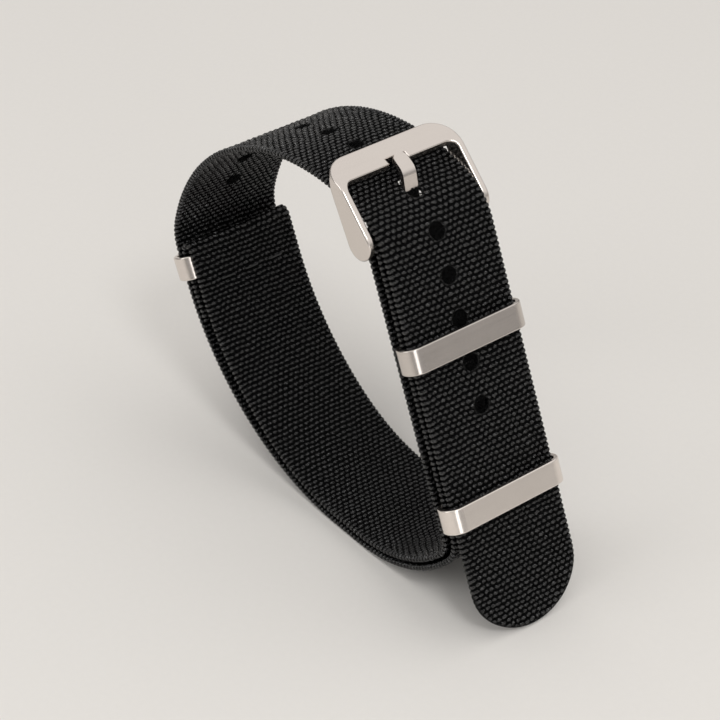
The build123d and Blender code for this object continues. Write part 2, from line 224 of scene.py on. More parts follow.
# An upright strip of light beside the camera, which the rings' rounded corners reflect, and a broad
# fill on the other side
STRIP_PLACE = (0.64, -0.24, 0.1)
STRIP_WIDTH = 0.22
STRIP_HEIGHT = 0.3
FILL_PLACE = (-0.16, -0.62, 0.4)
FILL_SIZE = 0.4

# The floor's side in metres, the grain of its paper in specks to a metre, and the nearest distance
# that the camera shows
FLOOR_SIDE = 6.0
FLOOR_GRAIN = 900.0
CAMERA_NEAR = 1 * mm

# The least distance that a place is divided by
LEAST_DISTANCE = 1e-9


def arrow(heading):
    """Unit step of a heading in the side view, as a complex number."""
    return np.exp(1j * np.radians(heading))


def bend_shape(first, last):
    """What a left-hand bend of unit radius spans between two headings."""
    return -1j * (arrow(last) - arrow(first))


def cross(first, second):
    """How far the second span lies to the left of the first."""
    return (np.conj(first) * second).imag


def two_radii(span, first, second):
    """Radii of two bends, of the given unit shapes, that together reach over the span."""
    area = cross(first, second)
    return cross(span, second) / area, cross(first, span) / area


def step_end(point, heading, size, turn):
    """End of one step of a route: a run of that length, or a bend of that radius and turn."""
    if turn == 0:
        return point + arrow(heading) * size, heading
    return point + bend_shape(heading, heading + turn) * copysign(size, turn), heading + turn


def step_length(size, turn):
    """Length of one step along a route."""
    return size if turn == 0 else size * radians(abs(turn))


def dot(first, second):
    """Length of the first span along the second, a unit step."""
    return (first * np.conj(second)).real


class Route:
    """A line of runs and bends in the side view that a ribbon of webbing follows."""

    def __init__(self, point, heading, steps):
        self.point, self.heading, self.steps = point, heading, steps
        self.length = sum(step_length(*step) for step in steps)

    def at(self, distance):
        """Places and headings at an array of distances along the route."""
        distance = np.clip(distance, 0, self.length)
        places = np.zeros(len(distance), complex)
        headings = np.zeros(len(distance))
        point, heading, passed = self.point, self.heading, 0
        for size, turn in self.steps:
            length = step_length(size, turn)
            here = distance >= passed
            share = (distance[here] - passed) / length
            if turn == 0:
                places[here] = point + arrow(heading) * size * share
                headings[here] = heading
            else:
                bend = bend_shape(heading, heading + turn * share)
                places[here] = point + bend * copysign(size, turn)
                headings[here] = heading + turn * share
            point, heading = step_end(point, heading, size, turn)
            passed += length
        return places, headings


def strap_routes(thickness):
    """Routes of both straps, the places of the tongue's hole and the bar, and the shift to the CAD."""
    half = thickness / 2
    up, outward = arrow(UP_HEADING), arrow(UP_HEADING - 90)
    pocket_gap = RING_WALL + 2 * RING_CLEARANCE
    tail_offset = thickness + LAYER_GAP
    pocket_offset = thickness + pocket_gap
    flat_end, flat_start = 1j * half, -FLAT_LENGTH + 1j * half

    crown_start = TOE_END + up * MIDDLE_LENGTH

    def on_side(drop, offset):
        """Place so far below the crown's start and so far outwards from the middle layer."""
        return crown_start - up * drop + outward * offset

    heel_radius, toe_radius = two_radii(
        TOE_END - flat_end,
        bend_shape(0, HEEL_TURN),
        bend_shape(HEEL_TURN, UP_HEADING),
    )
    tail_top = on_side(0, tail_offset)
    tail_length = (tail_top.imag - half * outward.imag) / up.imag
    tail_tip = tail_top - up * tail_length
    tail_crown_radius = CROWN_RADIUS - half
    top_heading = UP_HEADING + CROWN_TURN
    back_heading = top_heading + TOP_TURN
    fold_radius = RING_WALL / 2 + RING_CLEARANCE + half
    fold_rise = RING_BAND / 2 + END_RING_SLACK + RING_CLEARANCE
    run_above = fold_rise + RING_CLEARANCE
    run_below = RING_BAND / 2 + END_RING_SLACK + ROW_TO_RING * 3 / 2
    crown_end, _ = step_end(tail_top, UP_HEADING, tail_crown_radius, CROWN_TURN)
    top_end, _ = step_end(crown_end, top_heading, TOP_RADIUS - half, TOP_TURN)
    fixed = bend_shape(SHOULDER_HEADING, END_HEADING) * (SHOULDER_RADIUS - half)
    fixed += arrow(END_HEADING) * (run_above + run_below)
    back_radius, belly_radius = two_radii(
        flat_start - top_end - fixed,
        bend_shape(back_heading, SHOULDER_HEADING),
        bend_shape(END_HEADING, 360),
    )
    inner_crown_radius = CROWN_RADIUS - tail_offset - half
    bar_fold_radius = BAR_SEAT_RADIUS + half
    bar_centre = on_side(0, -inner_crown_radius)
    bar_centre += arrow(UP_HEADING - 90 + BAR_TURN) * (inner_crown_radius - bar_fold_radius)
    fold_span = bar_fold_radius + FOLD_RETURN_RADIUS
    bar_offset = dot(bar_centre - crown_start, outward)
    swing = degrees(np.arccos((bar_offset + pocket_offset + FOLD_RETURN_RADIUS) / fold_span))
    return_rise = dot(bar_centre - crown_start, up) - fold_span * np.sin(radians(swing))
    long_steps = [
        (tail_length, 0),
        (tail_crown_radius, CROWN_TURN),
        (TOP_RADIUS - half, TOP_TURN),
        (back_radius, SHOULDER_HEADING - back_heading),
        (SHOULDER_RADIUS - half, END_HEADING - SHOULDER_HEADING),
        (run_above + run_below, 0),
        (belly_radius, 360 - END_HEADING),
        (FLAT_LENGTH, 0),
        (heel_radius, HEEL_TURN),
        (toe_radius, UP_HEADING - HEEL_TURN),
        (MIDDLE_LENGTH, 0),
        (inner_crown_radius, BAR_TURN),
        (bar_fold_radius, 180 - BAR_TURN + swing),
        (FOLD_RETURN_RADIUS, -swing),
        (return_rise + FLAP_DROP, 0),
    ]
    # The first five steps end where the run through the end keeper starts
    to_end = Route(tail_tip, UP_HEADING, long_steps[:5])
    end_seat = to_end.at(np.array([to_end.length]))[0][0] + arrow(END_HEADING) * run_above

    heel_centre = flat_end + 1j * heel_radius
    inner_heel_radius = heel_radius - thickness - SNUG_GAP
    toe_line = on_side(0, -pocket_offset - INNER_TOE_RADIUS) - heel_centre
    toe_side = dot(toe_line, outward)
    toe_gap = inner_heel_radius - INNER_TOE_RADIUS
    toe_drop = dot(toe_line, up) + np.sqrt(toe_gap**2 - toe_side**2)
    toe_centre = on_side(toe_drop, -pocket_offset - INNER_TOE_RADIUS)
    toe_bearing = degrees(np.angle(toe_centre - heel_centre))
    inner_up_heading = END_HEADING - 180
    inner_end = end_seat + arrow(END_HEADING + 90) * (tail_offset + 2 * fold_radius)
    inner_end += arrow(END_HEADING) * run_below
    lower_belly_radius, upper_belly_radius = two_radii(
        inner_end - flat_start - 1j * (thickness + SNUG_GAP),
        -bend_shape(180, INNER_BELLY_HEADING),
        -bend_shape(INNER_BELLY_HEADING, inner_up_heading),
    )
    flap_belly_radius = belly_radius - tail_offset
    short_steps = [
        (toe_drop - FLAP_DROP - FLAP_END_GAP, 0),
        (INNER_TOE_RADIUS, toe_bearing - UP_HEADING + 90),
        (inner_heel_radius, -90 - toe_bearing),
        (FLAT_LENGTH, 0),
        (lower_belly_radius, INNER_BELLY_HEADING - 180),
        (upper_belly_radius, inner_up_heading - INNER_BELLY_HEADING),
        (run_below + fold_rise, 0),
        (fold_radius, 180),
        (fold_rise + run_below, 0),
        (flap_belly_radius, degrees(END_FLAP_LENGTH / flap_belly_radius)),
    ]
    long_route = Route(tail_tip, UP_HEADING, long_steps)
    short_start = on_side(FLAP_DROP + FLAP_END_GAP, -pocket_offset)
    short_route = Route(short_start, UP_HEADING + 180, short_steps)
    tongue_hole = tail_length + tail_crown_radius * radians(TONGUE_HOLE_TURN)
    right_edge = (tail_tip + outward * half).real
    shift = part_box("long_strap")[1].x - right_edge
    return long_route, short_route, tongue_hole, bar_centre, shift


class Value:
    """A shader value written with the usual signs, each of which adds its Math node."""

    def __init__(self, finish, output):
        self.finish, self.output = finish, output

    def math(self, operation, *others):
        """A Math node on this value and any others."""
        return self.finish.math(operation, self, *others)

    def __add__(self, other):
        return self.math("ADD", other)

    __radd__ = __add__

    def __sub__(self, other):
        return self.math("SUBTRACT", other)

    def __rsub__(self, other):
        return self.finish.math("SUBTRACT", other, self)

    def __mul__(self, other):
        return self.math("MULTIPLY", other)

    __rmul__ = __mul__

    def __pow__(self, other):
        return self.math("POWER", other)

    def swing(self, size):
        """This value, from 0 to 1, as a swing about 0 of a size from end to end."""
        return (self - 0.5) * size


class Outputs:
    """The outputs of a node, by name, each as a value."""

    def __init__(self, finish, made):
        self.finish, self.made = finish, made

    def __getitem__(self, name):
        return Value(self.finish, self.made.outputs[name])


def spaced(sockets):
    """Sockets under their names in Blender, from names with underscores for spaces."""
    return {name.replace("_", " "): value for name, value in sockets.items()}


class Finish:
    """The nodes of a material or of the light from all round, and the shader that they vary."""

    def __init__(self, owner, shader="Principled BSDF"):
        self.owner = owner
        owner.use_nodes = True
        self.tree = owner.node_tree
        self.surface = self.tree.nodes[shader]

    def fill(self, socket, value):
        """Sets a socket to a number or colour, or links a value to it."""
        if isinstance(value, Value):
            self.tree.links.new(value.output, socket)
        else:
            socket.default_value = value

    def node(self, kind, settings, sockets):
        """Adds a node of a type, sets it, fills its sockets and returns its outputs."""
        made = self.tree.nodes.new(kind)
        for name, value in settings.items():
            setattr(made, name, value)
        for name, value in sockets.items():
            self.fill(made.inputs[name], value)
        return Outputs(self, made)

    def math(self, operation, *values):
        """A Math node on values and numbers."""
        return self.node("ShaderNodeMath", {"operation": operation}, dict(enumerate(values)))["Value"]

    def attribute(self, name, output="Fac"):
        """What a piece's points carry under a name."""
        return self.node("ShaderNodeAttribute", {"attribute_name": name}, {})[output]

    def place(self):
        """Place on the object, in metres."""
        return self.node("ShaderNodeTexCoord", {}, {})["Object"]

    def set(self, **sockets):
        """Fills sockets of the surface, named with underscores for spaces."""
        for name, value in spaced(sockets).items():
            self.fill(self.surface.inputs[name], value)

    def mix(self, factor, first, second):
        """A colour between two, by a factor."""
        sockets = {"Factor": factor, 6: first, 7: second}
        made = self.node("ShaderNodeMix", {"data_type": "RGBA"}, sockets).made
        return Value(self, made.outputs[2])

    def noise(self, place, scale, detail=2.0):
        """Noise at a place, from 0 to 1."""
        sockets = {"Vector": place, "Scale": scale, "Detail": detail}
        return self.node("ShaderNodeTexNoise", {}, sockets)["Fac"]

    def band(self, value, start, end):
        """A smooth share, 0 where the value is at the start and 1 where it is at the end."""
        sockets = {"Value": value, "From Min": start, "From Max": end}
        return self.node("ShaderNodeMapRange", {"interpolation_type": "SMOOTHSTEP"}, sockets)["Result"]

    def under(self, factor, **sockets):
        """A second principled surface that shows where the factor is high."""
        upper = Value(self, self.surface.outputs["BSDF"])
        lower = self.node("ShaderNodeBsdfPrincipled", {}, spaced(sockets))["BSDF"]
        mixed = self.node("ShaderNodeMixShader", {}, {0: factor, 1: upper, 2: lower})["Shader"]
        self.fill(self.tree.nodes["Material Output"].inputs["Surface"], mixed)

    def pattern(self, place, repeats, detail=2.0):
        """Noise at a place, from 0 to 1, with its own number of repeats along each axis."""
        sockets = {0: place, 1: repeats}
        stretched = self.node("ShaderNodeVectorMath", {"operation": "MULTIPLY"}, sockets)["Vector"]
        return self.noise(stretched, 1.0, detail)

    def bump(self, height, distance, strength=1.0):
        """Sets the surface's normal from a height."""
        sockets = {"Height": height, "Distance": distance, "Strength": strength}
        self.set(Normal=self.node("ShaderNodeBump", {}, sockets)["Normal"])


def colour(values):
    """A colour with full alpha."""
    return (*values, 1.0)


def webbing_finish(name, sizes, look):
    """Black nylon webbing: staggered oval beads of yarn, sealed at its cuts, with painted shade in the
    gaps between beads and on the melted rims, and a painted highlight on each bead's crown.
    """
    finish = Finish(bpy.data.materials.new(name))
    strip = finish.attribute("strip", "Vector")
    edge = finish.attribute("edge")
    seal = finish.attribute("seal")
    axes = finish.node("ShaderNodeSeparateXYZ", {}, {0: strip})
    row_number = axes["X"].math("ROUND")
    column = axes["Y"] + row_number.math("PINGPONG", 1.0) * 0.5
    bead_number = column.math("ROUND")
    cell = finish.node("ShaderNodeCombineXYZ", {}, {0: row_number, 1: bead_number, 2: axes["Z"]})
    chance = finish.node("ShaderNodeTexWhiteNoise", {}, {"Vector": cell["Vector"]})["Value"]

    # Distances from a bead's middle, 1 at its edge
    along = (axes["X"] - row_number).math("ABSOLUTE") * (2 / look.bead_length)
    across = (column - bead_number).math("ABSOLUTE") * (2 / look.bead_breadth)
    across = across * (1 - edge * SELVEDGE_JOIN)
    reach = along ** BEAD_SQUARENESS[0] + across ** BEAD_SQUARENESS[1]
    crown = (1 - (along ** 2 + across ** 2)).math("MAXIMUM", 0.0) ** CROWN_FLATNESS

    fibre = finish.pattern(strip, FIBRE_PATTERN, detail=3.0)
    patch = finish.pattern(strip, PATCH_PATTERN)
    gap_shade_wander = finish.pattern(strip, GAP_SHADE_PATTERN)
    turn = axes["X"] * TWIST_BY_ROW + column * TWIST_BY_COLUMN + chance * TWIST_BY_BEAD
    twist = turn.math("SINE") * 0.5 + 0.5

    woven = crown * (1 - HEIGHT_CHANCE + chance * HEIGHT_CHANCE) * (1 - seal) + seal * RIM_RELIEF
    relief = woven + fibre * FIBRE_RELIEF + twist * crown * TWIST_RELIEF
    finish.bump(relief, sizes.bead_height * RELIEF_DEPTH, look.weave_strength)
    # The yarn's tone, with a painted highlight that lightens each bead's crown
    tone_and_painted_highlight = crown * PAINTED_CROWN_HIGHLIGHT + chance * BEAD_SHADE + twist * TWIST_SHADE
    tone_and_painted_highlight = tone_and_painted_highlight + patch.swing(PATCH_SHADE) + seal * RIM_SHADE
    tone_and_painted_highlight = tone_and_painted_highlight.math("MAXIMUM", 0.0).math("MINIMUM", 1.0)
    finish.set(
        Base_Color=finish.mix(tone_and_painted_highlight, colour(look.yarn_dark), colour(look.yarn_light)),
        Roughness=YARN_ROUGHNESS + fibre * YARN_ROUGHNESS_SWING + chance.swing(YARN_ROUGHNESS_SWING),
        Specular_IOR_Level=YARN_SHINE,
    )
    # Painted shade: a matte near-black surface mixed over the gaps between beads and over the melted rims
    gap = finish.band(reach + gap_shade_wander.swing(GAP_SHADE_WANDER), GAP_START, GAP_END)
    gap = gap * (1 - seal) + seal * RIM_GAP_SHADE
    finish.under(
        gap * GAP_SHADE_STRENGTH,
        Base_Color=colour(look.painted_gap_shade),
        Roughness=0.9,
        Specular_IOR_Level=0.0,
    )
    return finish.owner


def thread_finish(name, look):
    """Black sewing thread with a twisted lay."""
    finish = Finish(bpy.data.materials.new(name))
    place = finish.place()
    twist = finish.pattern(place, THREAD_LAY)
    finish.bump(twist, THREAD_RELIEF)
    finish.set(
        Base_Color=finish.mix(twist, colour(look.yarn_light), colour(look.thread_light)),
        Roughness=0.35,
    )
    return finish.owner


def hole_shade_yarn_finish(name, look):
    """Matte black fibres inside the holes, coloured and dulled as painted shade."""
    finish = Finish(bpy.data.materials.new(name))
    place = finish.place()
    speck = finish.noise(place, YARN_SPECKS)
    finish.set(
        Base_Color=finish.mix(speck, colour(look.painted_gap_shade), colour(look.yarn_dark)),
        Roughness=0.85,
        Specular_IOR_Level=0.1,
    )
    return finish.owner


def steel_finish(name, look, tone, brush, roughness):
    """Satin steel brushed along the strap's width, with soft streaks and faint handling marks."""
    finish = Finish(bpy.data.materials.new(name))
    place = finish.place()
    handling = finish.noise(place, HANDLING_MARKS, detail=3.0)
    streak = finish.pattern(place, FINE_BRUSHING) * FINE_SHARE
    streak = streak + finish.pattern(place, BROAD_BRUSHING) * BROAD_SHARE
    wear = (streak * STREAK_WEAR + handling * HANDLING_WEAR).math("MINIMUM", 1.0)
    finish.bump(streak, brush)
    # The part's tone scales the steel; for the keepers and the bar it is painted light and shade
    dark = colour(tone * part for part in look.steel_dark)
    light = colour(tone * part for part in look.steel_light)
    finish.set(
        Base_Color=finish.mix(wear, dark, light),
        Metallic=1.0,
        Roughness=roughness + streak.swing(STREAK_ROUGHNESS) + handling.swing(HANDLING_ROUGHNESS),
    )
    return finish.owner


def floor_finish(name, stage):
    """Smooth pale backdrop paper."""
    finish = Finish(bpy.data.materials.new(name))
    place = finish.place()
    grain = finish.noise(place, FLOOR_GRAIN)
    finish.set(
        Base_Color=finish.mix(grain, colour(stage.floor_dark), colour(stage.floor_light)),
        Roughness=0.9,
        Specular_IOR_Level=0.2,
    )
    return finish.owner


def studio_light(name, stage):
    """Soft light that is bright overhead and falls off to a darker horizon, as in a studio."""
    finish = Finish(bpy.data.worlds.new(name), "Background")
    ray = finish.node("ShaderNodeTexCoord", {}, {})["Generated"]
    lean = Vector(stage.sky_lean).normalized()
    sockets = {0: ray, 1: lean}
    rise = finish.node("ShaderNodeVectorMath", {"operation": "DOT_PRODUCT"}, sockets)["Value"]
    share = finish.band(rise, stage.sky_start, stage.sky_end)
    finish.set(
        Color=colour(stage.sky),
        Strength=share * (stage.sky_strength - stage.horizon_strength) + stage.horizon_strength,
    )
    return finish.owner


def facing(ahead):
    """Turn of a camera or lamp that looks along a direction, with its top up."""
    return ahead.to_track_quat("-Z", "Y").to_euler()


def dress(piece, material):
    """Gives a piece its only material, in one slot."""
    piece.data.materials.clear()
    piece.data.materials.append(material)


def only(piece):
    """Leaves one piece selected and active."""
    bpy.ops.object.select_all(action="DESELECT")
    piece.select_set(True)
    bpy.context.view_layer.objects.active = piece


def columns_across(width, bead_width):
    """Places of the ribbon's lengthwise lines: two to a bead, and finer round each selvedge."""
    half = width / 2
    count = round(half / (bead_width / 2))
    inner = (np.arange(2 * count - 1) - (count - 1)) * (half / count)
    rim = half - np.array(SELVEDGE_LINES) * (half / count)
    return np.concatenate([-rim[::-1], inner, rim])


def near_holes(along, across, holes):
    """Signed distance to the nearest hole's rim, and the rim's nearest point."""
    gap = np.full(len(along), np.inf)
    rim_along, rim_across = along.copy(), across.copy()
    for centre, stretch, radius in holes:
        axis = centre + np.clip(along - centre, -stretch / 2, stretch / 2)
        reach = np.maximum(np.hypot(along - axis, across), LEAST_DISTANCE)
        nearer = reach - radius < gap
        gap[nearer] = (reach - radius)[nearer]
        rim_along[nearer] = (axis + (along - axis) * radius / reach)[nearer]
        rim_across[nearer] = (across * radius / reach)[nearer]
    return gap, rim_along, rim_across


def tip_share(along, across, width):
    """How far out a point lies on the tip's half ellipse, 1 on its outline; 0 above the tip."""
    drop = np.maximum(TIP_LENGTH - along, 0) / TIP_LENGTH
    share = np.hypot(drop, across / (width / 2))
    return np.where(along < TIP_LENGTH, share, 0)


def delete_faces(piece, chosen):
    """Deletes the chosen faces in edit mode, with what only they use."""
    only(piece)
    bpy.ops.object.mode_set(mode="EDIT")
    bpy.ops.mesh.select_mode(type="FACE")
    bpy.ops.mesh.select_all(action="DESELECT")
    bpy.ops.object.mode_set(mode="OBJECT")
    piece.data.polygons.foreach_set("select", chosen)
    bpy.ops.object.mode_set(mode="EDIT")
    bpy.ops.mesh.delete(type="FACE")
    bpy.ops.object.mode_set(mode="OBJECT")


def points_of(mesh):
    """The mesh's points as an array."""
    points = np.zeros(len(mesh.vertices) * 3)
    mesh.vertices.foreach_get("co", points)
    return points.reshape(-1, 3)


def on_border(mesh):
    """Which points lie on an edge that has one face."""
    edges = np.zeros(len(mesh.loops), int)
    mesh.loops.foreach_get("edge_index", edges)
    single = np.bincount(edges, minlength=len(mesh.edges)) == 1
    ends = np.zeros(len(mesh.edges) * 2, int)
    mesh.edges.foreach_get("vertices", ends)
    border = np.zeros(len(mesh.vertices), bool)
    border[ends.reshape(-1, 2)[single].ravel()] = True
    return border


def rounded(gap, radius):
    """Share of the full thickness at a distance from a rounded edge."""
    inside = np.clip(gap / radius, 0, 1)
    return EDGE_THICKNESS + (1 - EDGE_THICKNESS) * np.sqrt(1 - (1 - inside) ** 2)


def fray(name, route, shift, sizes, holes):
    """Loose yarn ends that reach from the rims of the holes into them, in one mesh, as a dark fill of
    painted shade.
    """
    dice = np.random.default_rng(HOLE_COUNT)
    strands = bpy.data.curves.new(name, "CURVE")
    strands.dimensions = "3D"
    strands.bevel_depth = sizes.fibre_radius
    strands.bevel_resolution = 0
    strands.resolution_u = 2
    share = np.linspace(0, 1, FIBRE_POINTS)
    for centre, stretch, radius in holes:
        root = radius * FIBRE_ROOT
        tail_hole = centre < route.length * TAIL_PART and not stretch
        for _ in range(FIBRES_PER_HOLE * (1 if tail_hole else CROWDED_TIMES)):
            turn, lean = dice.uniform(0, 2 * pi), dice.normal(0, FIBRE_LEAN)
            reach = radius * dice.uniform(*FIBRE_REACH)
            middle = centre + stretch * dice.uniform(-0.5, 0.5)
            bow = dice.normal(0, FIBRE_BOW) * radius * np.sin(share * pi)
            out = root - reach * share
            aside = reach * share * lean + bow
            along = middle + out * np.cos(turn) - aside * np.sin(turn)
            across = out * np.sin(turn) + aside * np.cos(turn)
            depth = sizes.thickness * (dice.uniform(*FIBRE_DEPTH) + dice.normal(0, FIBRE_RISE) * share)
            gap, rim_along, rim_across = near_holes(along, across, [(centre, stretch, root)])
            beyond = gap > 0
            along[beyond], across[beyond] = rim_along[beyond], rim_across[beyond]
            places, headings = route.at(along)
            places = places + arrow(headings - 90) * depth
            points = np.column_stack([places.real + shift, across, places.imag, np.ones(FIBRE_POINTS)])
            spline = strands.splines.new("NURBS")
            spline.points.add(FIBRE_POINTS - 1)
            spline.points.foreach_set("co", points.ravel())
            spline.order_u = 3
            spline.use_endpoint_u = True
    piece = bpy.data.objects.new(name, strands)
    bpy.context.collection.objects.link(piece)
    only(piece)
    bpy.ops.object.convert(target="MESH")
    bpy.context.active_object.data.name = name
    return bpy.context.active_object


def waves(along, across):
    """Slow uneven waves between -1 and 1, as the yarn's rows and columns wander."""
    wave = np.zeros(len(along))
    for turn, length in WAVES:
        wave += np.sin((along * np.cos(turn) + across * np.sin(turn)) * 2 * pi / (length * mm) + turn)
    return wave / len(WAVES)


def hump(turns):
    """A wave from 1 down to 0 and back over each whole turn."""
    return 0.5 + 0.5 * np.cos(2 * pi * turns)


def line_count(route, sizes):
    """How many steps a ribbon's grid has along it, so that they make up whole rows of beads."""
    return LINES_PER_ROW * round(route.length / sizes.row_pitch)


def move_points(mesh, along, across, height):
    """Puts the mesh's points at new places."""
    mesh.vertices.foreach_set("co", np.column_stack([along, across, height]).ravel())


def flat_ribbon(name, route, sizes, holes, tip, slot):
    """A flat grid of webbing, cut to its holes, slot and tip and given its thickness."""
    lines = columns_across(sizes.width, sizes.bead_width)
    steps = line_count(route, sizes)
    bpy.ops.object.select_all(action="DESELECT")
    bpy.ops.mesh.primitive_grid_add(x_subdivisions=steps, y_subdivisions=len(lines) - 1, size=1)
    piece = bpy.context.active_object
    piece.name = piece.data.name = name
    mesh = piece.data
    points = points_of(mesh)
    along = (points[:, 0] + 0.5) * route.length
    across = lines[np.rint((points[:, 1] + 0.5) * (len(lines) - 1)).astype(int)]
    move_points(mesh, along, across, 0 * along)

    centres = np.array([face.center for face in mesh.polygons])
    cut = near_holes(centres[:, 0], centres[:, 1], holes)[0] < 0
    if tip:
        cut |= tip_share(centres[:, 0], centres[:, 1], sizes.width) > 1
    if slot:
        reach = abs(route.at(centres[:, 0])[0] - slot)
        cut |= (reach < SLOT_REACH) & (abs(centres[:, 1]) < TONGUE_SLOT_WIDTH / 2)
    delete_faces(piece, cut)

    points = points_of(mesh)
    along, across = points[:, 0], points[:, 1]
    border = on_border(mesh)
    gap, rim_along, rim_across = near_holes(along, across, holes)
    rim = border & (gap < sizes.bead_width)
    along[rim], across[rim] = rim_along[rim], rim_across[rim]
    if tip:
        share = tip_share(along, across, sizes.width)
        rim = border & (along < TIP_LENGTH)
        along[rim] = TIP_LENGTH - (TIP_LENGTH - along[rim]) / share[rim]
        across[rim] /= share[rim]
    move_points(mesh, along, across, 0 * along)

    solid = piece.modifiers.new("Thickness", "SOLIDIFY")
    solid.thickness, solid.offset = sizes.thickness, 0
    only(piece)
    bpy.ops.object.modifier_apply(modifier=solid.name)
    return piece


def weave(mesh, route, shift, sizes, holes, tip):
    """Gives a flat ribbon its beads, bends it along its route and notes what its finish reads."""
    half_width, half = sizes.width / 2, sizes.thickness / 2
    points = points_of(mesh)
    along, across, side = points[:, 0], points[:, 1], np.sign(points[:, 2])
    selvedge = half_width - abs(across)
    hole_gap = np.maximum(near_holes(along, across, holes)[0], 0)
    cut_gap = np.minimum(hole_gap, np.minimum(along, route.length - along))
    if tip:
        share = tip_share(along, across, sizes.width)
        cut_gap = np.where(along < TIP_LENGTH, np.minimum(hole_gap, (1 - share) * half_width), cut_gap)
    edge = np.clip(1 - selvedge / sizes.selvedge_width, 0, 1)
    seal = np.clip(1 - cut_gap / sizes.seal_width, 0, 1)

    # Rows and columns wander, and each face has its own waves
    row_pitch = LINES_PER_ROW * route.length / line_count(route, sizes)
    row = along / row_pitch + 0.5 / LINES_PER_ROW
    row = row + sizes.sway * waves(along, across + side * half_width) * (1 - edge)
    column = across / sizes.bead_width
    column = column + sizes.sway * waves(across * COLUMN_SQUEEZE, along / COLUMN_STRETCH + side)

    rise = hump(row) ** ROW_FLATNESS
    beads = np.maximum(hump(column + np.rint(row) % 2 / 2), edge)
    woven = rise * (HOLLOW_HEIGHT + (1 - HOLLOW_HEIGHT) * beads) * (1 - seal) + RIM_HEIGHT * seal
    level = half + sizes.selvedge_swell * (np.sin(edge * pi) - 1)
    level *= rounded(selvedge, sizes.selvedge_radius) * rounded(cut_gap, sizes.seal_radius)
    level += sizes.bead_height * (woven - 1) * np.clip(level / half, 0, 1)
    places, headings = route.at(along)
    places = places + arrow(headings - 90) * side * level
    pull = edge * sizes.bead_height * (rise - 1) * SELVEDGE_PULL
    move_points(mesh, places.real + shift, across + np.sign(across) * pull, places.imag)
    for attribute, kind, key, data in (
        ("strip", "FLOAT_VECTOR", "vector", np.column_stack([row, column, side])),
        ("edge", "FLOAT", "value", edge),
        ("seal", "FLOAT", "value", seal),
    ):
        mesh.attributes.new(attribute, kind, "POINT").data.foreach_set(key, data.ravel())
    mesh.update()


def ribbon(name, route, shift, sizes, holes=(), tip=False, slot=None):
    """A ribbon of webbing: a flat grid is cut, given its thickness, woven and bent along its route."""
    piece = flat_ribbon(name, route, sizes, holes, tip, slot)
    weave(piece.data, route, shift, sizes, holes, tip)
    only(piece)
    bpy.ops.object.mode_set(mode="EDIT")
    bpy.ops.mesh.select_all(action="SELECT")
    bpy.ops.mesh.normals_make_consistent(inside=False)
    bpy.ops.object.mode_set(mode="OBJECT")
    bpy.ops.object.shade_smooth()
    return piece


def hole_list(tongue_hole, sizes):
    """Each hole's middle along the long strap, stretch and radius."""
    holes = []
    for number in range(HOLE_COUNT):
        centre = tongue_hole + (number - LOWER_HOLE_COUNT) * HOLE_PITCH
        if number == LOWER_HOLE_COUNT:
            holes.append((centre + TONGUE_HOLE_SHIFT, TONGUE_HOLE_STRETCH, TONGUE_HOLE_RADIUS))
        else:
            tightness = UNUSED_HOLE_SHARE if number > LOWER_HOLE_COUNT else 1
            holes.append((centre, 0, sizes.hole_radius * tightness))
    return holes


class StrapSizes(bpy.types.PropertyGroup):
    """Sizes of the webbing and its weave."""

    width: bpy.props.FloatProperty(
        name="Width", description="Width of the webbing", default=20.3 * mm, unit="LENGTH")
    thickness: bpy.props.FloatProperty(
        name="Thickness", description="Thickness of the webbing", default=1.2 * mm, unit="LENGTH")
    row_pitch: bpy.props.FloatProperty(
        name="Row pitch", description="Distance between rows of beads",
        default=0.855 * mm, unit="LENGTH")
    bead_width: bpy.props.FloatProperty(
        name="Bead width", description="Width of one bead of yarn", default=1.08 * mm, unit="LENGTH")
    bead_height: bpy.props.FloatProperty(
        name="Bead height", description="Height of a bead over its hollow",
        default=0.32 * mm, unit="LENGTH")
    sway: bpy.props.FloatProperty(
        name="Sway", description="How far rows and columns wander, in beads", default=0.22)
    selvedge_width: bpy.props.FloatProperty(
        name="Selvedge width", description="Width of the ribbed selvedge",
        default=0.9 * mm, unit="LENGTH")
    selvedge_radius: bpy.props.FloatProperty(
        name="Selvedge radius", description="Rounding of the selvedge", default=0.36 * mm, unit="LENGTH")
    selvedge_swell: bpy.props.FloatProperty(
        name="Selvedge swell", description="How far the selvedge stands proud",
        default=0.09 * mm, unit="LENGTH")
    seal_width: bpy.props.FloatProperty(
        name="Seal width", description="Width of the melted rim at a cut",
        default=0.34 * mm, unit="LENGTH")
    seal_radius: bpy.props.FloatProperty(
        name="Seal radius", description="Rounding of a melted rim", default=0.3 * mm, unit="LENGTH")
    fibre_radius: bpy.props.FloatProperty(
        name="Fibre radius", description="Radius of a loose yarn end", default=0.06 * mm, unit="LENGTH")
    hole_radius: bpy.props.FloatProperty(
        name="Hole radius", description="Radius of an adjustment hole", default=1.34 * mm, unit="LENGTH")


